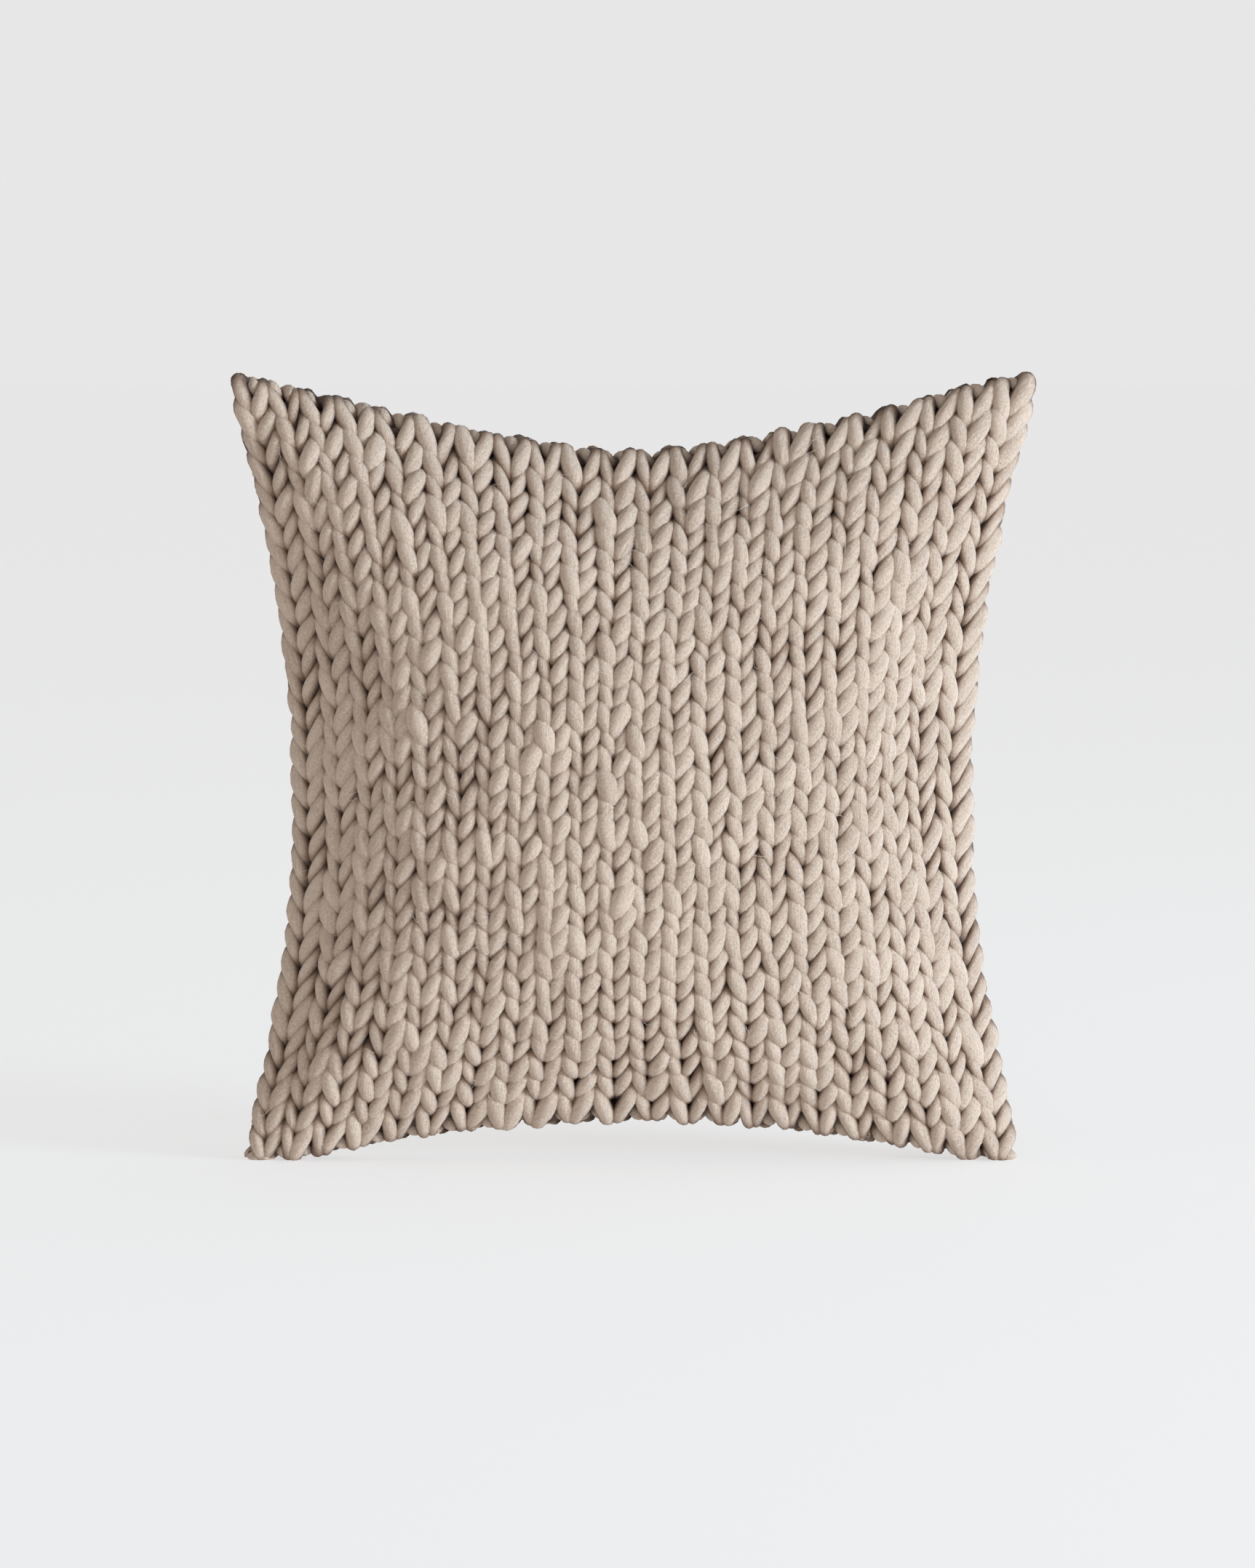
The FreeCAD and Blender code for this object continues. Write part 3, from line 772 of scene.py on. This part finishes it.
def stray_fibres(panel, name, count):
    """Loose hairs that have worked out of the wool."""
    made = []
    for _ in range(count):
        u, v = rng.uniform(-0.95, 0.95, 2)
        turn = rng.uniform(0, TAU) + np.cumsum(rng.normal(0, 0.5, HAIR_POINTS))
        step = rng.uniform(0.8, 2.6) * MM
        du, dv = np.cumsum(np.cos(turn)) * step / TOP_HALF, np.cumsum(np.sin(turn)) * step / TOP_HALF
        root = rng.uniform(-3.5, 0.4)
        bow = rng.uniform(0.5, 2.5) * np.sin(np.linspace(0, 2.6, HAIR_POINTS))
        lift = KNIT_MIDDLE + MM * (root + bow)
        path, normal = panel.at(np.clip(u + du, -0.98, 0.98), np.clip(v + dv, -0.98, 0.98), lift)
        made.append(tube(path, normal, np.full(HAIR_POINTS, HAIR_RADIUS), 4))
    fibre = Nodes("stray_fibre", Roughness=0.7, Sheen_Weight=0.4)
    shade = fibre.noise(fibre.add("TexCoord").outputs["Object"], 300.0)
    colour = fibre.ramp(shade, (0.3, (0.7, 0.62, 0.53)), (0.7, (0.93, 0.9, 0.85)))
    finished(joined(name, made), "root", "knit", fibre.paint(colour, shade, 0.1, 0.01 * MM))


seam_yarn()
stray_fibres(front, "front_stray_fibres", 420)
stray_fibres(back, "back_stray_fibres", 300)


# ---------------------------------------------------------------- lining and insert


def layer_grid(panel, depth, share, ripple=0.0):
    """Grid of points at that depth inside a panel's middle, over a share of the panel."""
    steps = np.linspace(-share, share, 81)
    u, v = np.meshgrid(steps, steps, indexing="ij")
    rough = sample(noise_grid(26, 26), (u + 1) / 2, (v + 1) / 2)
    points, _ = panel.at(u, v, -depth - ripple * (1 + rough))
    clear = RIM_CLEAR + depth / 12
    points[..., 1] = panel.side * np.maximum(panel.side * points[..., 1], clear)
    return points


def shell_piece(name, outer, inner):
    """A closed piece from two grids that are joined round their borders."""
    points = np.concatenate([outer.reshape(-1, 3), inner.reshape(-1, 3)])
    piece = new_mesh(name, points, shell_faces(outer))
    make_outward(piece)
    return piece


def make_outward(piece):
    """Turns every face of a closed piece outwards."""
    bpy.ops.object.select_all(action="DESELECT")
    bpy.context.view_layer.objects.active = piece
    piece.select_set(True)
    bpy.ops.object.mode_set(mode="EDIT")
    bpy.ops.mesh.select_all(action="SELECT")
    bpy.ops.mesh.normals_make_consistent(inside=False)
    bpy.ops.object.mode_set(mode="OBJECT")
    piece.select_set(False)


for side_name, panel in (("front", front), ("back", back)):
    outer = layer_grid(panel, LINING_DEPTH, LINING_REACH)
    inner = outer - panel.side * np.array([0, LINING_WALL, 0])
    inner[..., 1] = panel.side * np.maximum(panel.side * inner[..., 1], RIM_CLEAR / 2)
    lining = shell_piece(f"{side_name}_lining_cloth", outer, inner)
    finished(lining, "root", "lining", shade_darkened_lining_cotton, f"{side_name}_lining")

    outer = layer_grid(panel, CASING_DEPTH, CASING_REACH, CASING_RIPPLE)
    inner = outer - panel.side * np.array([0, CASING_WALL, 0])
    casing = shell_piece(f"insert_{side_name}_cloth", outer, inner)
    finished(casing, "root", "casing", casing_cotton, f"insert_{side_name}_casing")

halves = [layer_grid(panel, FILLING_DEPTH, FILLING_REACH, FILLING_RIPPLE) for panel in (front, back)]
filling = shell_piece("insert_fibre", *halves)
finished(filling, "root", "filling", filling_fibre, "insert_filling")


def sewn_edge():
    """The insert's seam allowance: a thin wavy strip all round it, between the two casings."""
    loops = []
    for share, thick in ((0.93, 0.5), (EDGE_REACH, 0.5), (EDGE_REACH, -0.5), (0.93, -0.5)):
        ring = (border_ring(front.grid, share) + border_ring(back.grid, share)) / 2
        wave = 0.5 * MM * np.sin(np.arange(len(ring)) * 0.55) * (share > 0.95)
        ring[:, 1] = wave + thick * CASING_WALL
        loops.append(np.concatenate([ring, ring[:1]]))
    rings = np.stack(loops, axis=1)
    lengths = np.arange(len(rings)) * 2 * MM
    piece = joined("insert_seam_edge", [skin(rings, lengths, 30 * MM)])
    make_outward(piece)
    finished(piece, "root", "casing", casing_cotton, "insert_sewn_edge")


sewn_edge()


# ---------------------------------------------------------------- zip tapes, coils and thread


def zip_tape(name, side):
    """Woven tape with a corded edge beside the coil."""
    low, high = TAPE_INNER, TAPE_OUTER
    profile = [(low, -1.0), (low + 1.4 * MM, -1.3), (low + 2.2 * MM, -1.0), (high, -1.0)]
    profile += [(high, 1.0), (low + 2.2 * MM, 1.0), (low + 1.4 * MM, 1.3), (low, 1.0)]
    lengths = np.linspace(-TAPE_HALF, TAPE_HALF, 161)
    rings = np.stack([zip_place(lengths, side * up, wall * TAPE_HALF_WALL) for up, wall in profile], axis=1)
    piece = joined(f"zip_tape_{name}_cloth", [skin(rings, lengths, 2 * (high - low))])
    make_outward(piece)
    finished(piece, "root", "zip_tape", tape_twill, f"zip_tape_{name}")


def zip_coil(name, side):
    """A nylon helix laid flat on the tape's edge, half a turn out of step with the other one."""
    turns = int(2 * COIL_HALF / COIL_PITCH)
    lengths = np.linspace(-COIL_HALF, COIL_HALF, turns * 10 + 1)
    angle = TAU * turns * (lengths + COIL_HALF) / (2 * COIL_HALF) + (0 if side > 0 else math.pi)
    up = side * (COIL_CENTRE + (COIL_HALF_WIDTH - WIRE_RADIUS) * np.cos(angle))
    out = TAPE_TOP + COIL_HALF_HEIGHT + COIL_CLEAR + COIL_HALF_HEIGHT * np.sin(angle)
    path = zip_place(lengths, up, out)
    core = zip_place(lengths, side * COIL_CENTRE, TAPE_TOP + COIL_HALF_HEIGHT + COIL_CLEAR)
    wire = tube(path, unit(path - core), np.full(len(path), WIRE_RADIUS), 6)
    piece = joined(f"zip_coil_{name}_helix", [wire])
    finished(piece, "root", "zip_coil", coil_nylon, f"zip_coil_{name}")


def zip_stitching():
    """Two rows of lockstitch that hold the tapes to the knit, one row a side."""
    made = []
    for side in (-1, 1):
        for start in np.arange(-COIL_HALF, COIL_HALF - 3 * MM, STITCH_PITCH):
            lengths = start + np.linspace(0, STITCH_LENGTH, 7)
            rise = TAPE_TOP + 0.25 * MM * np.sin(np.linspace(0, math.pi, 7)) - 0.12 * MM
            path = zip_place(lengths, side * (TAPE_OUTER - STITCH_INSET), rise)
            above = zip_place(lengths, side * (TAPE_OUTER - STITCH_INSET), rise + 1 * MM)
            made.append(tube(path, unit(above - path), np.full(7, THREAD_RADIUS), 6))
    piece = joined("zip_stitches", made)
    finished(piece, "root", "thread", thread_cotton, "zip_sewing_thread")


for side_name, side in (("upper", 1), ("lower", -1)):
    zip_tape(side_name, side)
    zip_coil(side_name, side)
zip_stitching()


# ---------------------------------------------------------------- zip slider, pull and stops


def zip_matrix(length):
    """From (along the zip, out of the tape, up the face) at that length to the model's frame."""
    origin = zip_place(length, 0, 0)
    out = unit(zip_place(length, 0, 1 * MM) - origin)
    up = unit(zip_place(length, 1 * MM, 0) - origin)
    along = np.cross(out, up)
    rows = np.eye(4)
    rows[:3, 0], rows[:3, 1], rows[:3, 2], rows[:3, 3] = along, out, up, origin
    return Matrix(rows.tolist())


def slab(low, high, bevel=None, segments=3):
    """A block between two corners, each (along, out, up) in millimetres, with rounded edges or sharp ones."""
    low, high = Vector(low) * MM, Vector(high) * MM
    bpy.ops.object.select_all(action="DESELECT")
    bpy.ops.mesh.primitive_cube_add(size=1, location=(low + high) / 2, scale=high - low)
    block = bpy.context.object
    bpy.ops.object.transform_apply(location=True, rotation=False, scale=True)
    return rounded(block, bevel, segments) if bevel else block


def rounded(block, bevel, segments=3):
    modifier = block.modifiers.new("round", "BEVEL")
    modifier.width, modifier.segments = bevel * MM, segments
    modifier.limit_method = "ANGLE"
    modifier.angle_limit = math.radians(30)
    bpy.context.view_layer.objects.active = block
    bpy.ops.object.modifier_apply(modifier=modifier.name)
    bpy.ops.object.shade_smooth_by_angle(angle=math.radians(35))
    return block


def pinched(block, beyond, share, axis=2):
    """Narrows the end of a block past a place along it, to a share of its size on one axis."""
    bpy.ops.object.select_all(action="DESELECT")
    block.select_set(True)
    bpy.context.view_layer.objects.active = block
    bpy.ops.object.mode_set(mode="EDIT")
    bpy.ops.mesh.select_mode(type="VERT")
    bpy.ops.mesh.select_all(action="DESELECT")
    bpy.ops.object.mode_set(mode="OBJECT")
    for vertex in block.data.vertices:
        vertex.select = vertex.co.x > beyond * MM
    bpy.ops.object.mode_set(mode="EDIT")
    size = [1, 1, 1]
    size[axis] = share
    bpy.ops.transform.resize(value=size)
    bpy.ops.object.mode_set(mode="OBJECT")
    return block


def one_piece(name, blocks, length):
    """Joins blocks into one piece and puts it in its place on the zip."""
    bpy.ops.object.select_all(action="DESELECT")
    for block in blocks:
        block.select_set(True)
    bpy.context.view_layer.objects.active = blocks[0]
    if len(blocks) > 1:
        bpy.ops.object.join()
    piece = bpy.context.view_layer.objects.active
    piece.name = piece.data.name = name
    piece.data.transform(zip_matrix(length))
    piece.select_set(False)
    return piece


REST_LENGTH = SLIDER_REST * ZIP_RADIUS

# Sizes in millimetres, as slab takes them
SLIDER_HALF = 5.5
SLIDER_HALF_WIDTH = 5.2
TOP_PLATE = (2.95, 4.25)  # heights of its two faces out of the tape
UNDER_PLATE = (-1.95, -0.65)
BAR_HEIGHT = 5.6  # of the pull's bar out of the tape
BAR_RADIUS = 0.65
TAB_START, TAB_END = 5.2, 21.6  # along the zip from the bar
TAB_HALF_WIDTH = 3.9
TAB_HALF_WALL = 0.6
HOLE_PLACE = 17.4  # along the zip from the bar
HOLE_RADIUS = 1.6


def slider():
    """Two shield-shaped plates with rolled flanges and a divider at the mouth."""
    plates = []
    for under, over in (TOP_PLATE, UNDER_PLATE):
        low, high = (-SLIDER_HALF, under, -SLIDER_HALF_WIDTH), (SLIDER_HALF, over, SLIDER_HALF_WIDTH)
        plates.append(pinched(slab(low, high), 5, 0.74))
    flanges = [slab((-4.9, 0.75, low), (4.2, 3.1, low + 0.75), 0.2, 2) for low in (-5.0, 4.25)]
    divider = slab((-5.3, -0.8, -0.42), (-1.6, 3.1, 0.42), 0.15, 2)
    blocks = [rounded(plates[0], 0.45), rounded(plates[1], 0.45), *flanges, divider]
    piece = one_piece("slider_shell", blocks, REST_LENGTH)
    finished(piece, "slider", "zip_metal", dull_nickel, "zip_slider_body")


def bail():
    """A strap bent over the slider, spun from its own section."""
    bpy.ops.object.select_all(action="DESELECT")
    bpy.ops.mesh.primitive_plane_add(size=1, location=(-3.7 * MM, 4.2 * MM, 0))
    strap = bpy.context.object
    strap.scale = (0.95 * MM, 2.4 * MM, 1)
    strap.rotation_euler = (math.pi / 2, 0, 0)
    bpy.ops.object.transform_apply(location=True, rotation=True, scale=True)
    bpy.ops.object.mode_set(mode="EDIT")
    bpy.ops.mesh.select_all(action="SELECT")
    bpy.ops.mesh.spin(steps=16, angle=-math.pi, center=(0, 4.2 * MM, 0), axis=(0, 0, 1))
    bpy.ops.mesh.select_all(action="SELECT")
    bpy.ops.transform.resize(value=(1, 0.8, 1), center_override=(0, 4.2 * MM, 0))
    bpy.ops.object.mode_set(mode="OBJECT")
    piece = one_piece("slider_bridge", [strap], REST_LENGTH)
    make_outward(piece)
    finished(piece, "slider", "zip_metal", dull_nickel, "zip_slider_bail")


def pull():
    """A flat tab with a hole at its end, and an eye whose bar lies under the bridge."""
    low, high = BAR_HEIGHT - TAB_HALF_WALL, BAR_HEIGHT + TAB_HALF_WALL
    tab = slab((TAB_START, low, -TAB_HALF_WIDTH), (TAB_END, high, TAB_HALF_WIDTH))
    tab = rounded(pinched(tab, 21, 0.8), 0.5)
    place = (HOLE_PLACE * MM, BAR_HEIGHT * MM, 0)
    bpy.ops.mesh.primitive_cylinder_add(vertices=32, radius=HOLE_RADIUS * MM, depth=4 * MM, location=place)
    cutter = bpy.context.object
    cutter.rotation_euler = (math.pi / 2, 0, 0)
    bpy.ops.object.transform_apply(location=True, rotation=True, scale=True)
    modifier = tab.modifiers.new("hole", "BOOLEAN")
    modifier.operation, modifier.object, modifier.solver = "DIFFERENCE", cutter, "EXACT"
    bpy.context.view_layer.objects.active = tab
    bpy.ops.object.modifier_apply(modifier=modifier.name)
    bpy.data.objects.remove(cutter)
    arms = [slab((-0.55, low + 0.05, side), (5.9, high - 0.05, side + 1.2), 0.3) for side in (-2.8, 1.6)]
    bpy.ops.object.select_all(action="DESELECT")
    place = (0, BAR_HEIGHT * MM, 0)
    bpy.ops.mesh.primitive_cylinder_add(vertices=20, radius=BAR_RADIUS * MM, depth=5.0 * MM, location=place)
    bar = bpy.context.object
    bpy.ops.object.transform_apply(location=True, rotation=True, scale=True)
    rounded(bar, 0.1, 1)
    piece = one_piece("pull_tab", [tab, *arms, bar], REST_LENGTH)
    finished(piece, "pull", "zip_metal", dull_nickel, "zip_pull_tab")


def stops():
    """Crimped stops past each end of the coils: a pair at the closed end, a wide one at the other."""
    closed_end, open_end = -COIL_HALF - 1.5 * MM, COIL_HALF + 1.5 * MM
    pair = [slab((-1.2, 0.2, low), (1.2, 2.5, low + 2.0), 0.3) for low in (-3.6, 1.6)]
    piece = one_piece("closed_end_stops", pair, closed_end)
    finished(piece, "root", "zip_metal", dull_nickel, "zip_top_stops")
    piece = one_piece("open_end_stop", [slab((-1.2, 0.2, -3.6), (1.2, 2.6, 3.6), 0.4)], open_end)
    finished(piece, "root", "zip_metal", dull_nickel, "zip_bottom_stop")


slider()
bail()
pull()
stops()

# ---------------------------------------------------------------- stage

FLOOR_GLOW = 0.585  # the floor's own share of its tone, so that it meets the background


def floor():
    bpy.ops.object.select_all(action="DESELECT")
    bpy.ops.mesh.primitive_plane_add(size=60, location=(0, 0, 0))
    plane = bpy.context.object
    plane.name = "floor"
    material = bpy.data.materials.new("pale_floor")
    material.use_nodes = True
    shader = material.node_tree.nodes["Principled BSDF"]
    shader.inputs["Base Color"].default_value = (0.38, 0.38, 0.38, 1)
    shader.inputs["Roughness"].default_value = 0.9
    shader.inputs["Specular IOR Level"].default_value = 0.0
    shader.inputs["Emission Color"].default_value = (1, 1, 1, 1)
    shader.inputs["Emission Strength"].default_value = FLOOR_GLOW
    plane.data.materials.append(material)


def area_light(name, place, target, size, power, colour):
    data = bpy.data.lights.new(name, "AREA")
    data.shape = "RECTANGLE"
    data.size, data.size_y = size
    data.energy = power
    data.color = colour
    lamp = bpy.data.objects.new(name, data)
    lamp.location = place
    lamp.rotation_euler = (Vector(target) - Vector(place)).to_track_quat("-Z", "Y").to_euler()
    bpy.context.scene.collection.objects.link(lamp)


floor()
area_light("key", (3.8, -1.85, 0.5), (0, 0, 0.25), (1.6, 1.0), 250, (0.72, 0.86, 1.0))


def studio_world():
    """A pale room whose ceiling is darker than its walls."""
    world = bpy.data.worlds.new("studio")
    world.use_nodes = True
    tree = world.node_tree
    place = tree.nodes.new("ShaderNodeTexCoord")
    parts = tree.nodes.new("ShaderNodeSeparateXYZ")
    ramp = tree.nodes.new("ShaderNodeValToRGB")
    tree.links.new(place.outputs["Generated"], parts.inputs[0])
    tree.links.new(parts.outputs["Z"], ramp.inputs[0])
    tree.links.new(ramp.outputs["Color"], tree.nodes["Background"].inputs["Color"])
    for element, position, tone in zip(ramp.color_ramp.elements, (0.12, 0.8), (0.8, 0.47)):
        element.position = position
        element.color = (tone, tone, tone, 1)
    bpy.context.scene.world = world


studio_world()
bpy.context.scene.view_settings.view_transform = "Standard"

CAMERA_DISTANCE = 3.4
CAMERA_RISE = math.radians(5)
CAMERA_AIM = Vector((-0.0026, 0, 0.231))
SEEN_HEIGHT = 0.959  # of the picture, at the pillow

camera_data = bpy.data.cameras.new("camera")
camera_data.sensor_width = 36
camera_data.lens = 36 * CAMERA_DISTANCE / SEEN_HEIGHT
camera = bpy.data.objects.new("camera", camera_data)
camera.location = CAMERA_AIM + CAMERA_DISTANCE * Vector((0, -math.cos(CAMERA_RISE), math.sin(CAMERA_RISE)))
camera.rotation_euler = (CAMERA_AIM - camera.location).to_track_quat("-Z", "Y").to_euler()
bpy.context.scene.collection.objects.link(camera)
bpy.context.scene.camera = camera
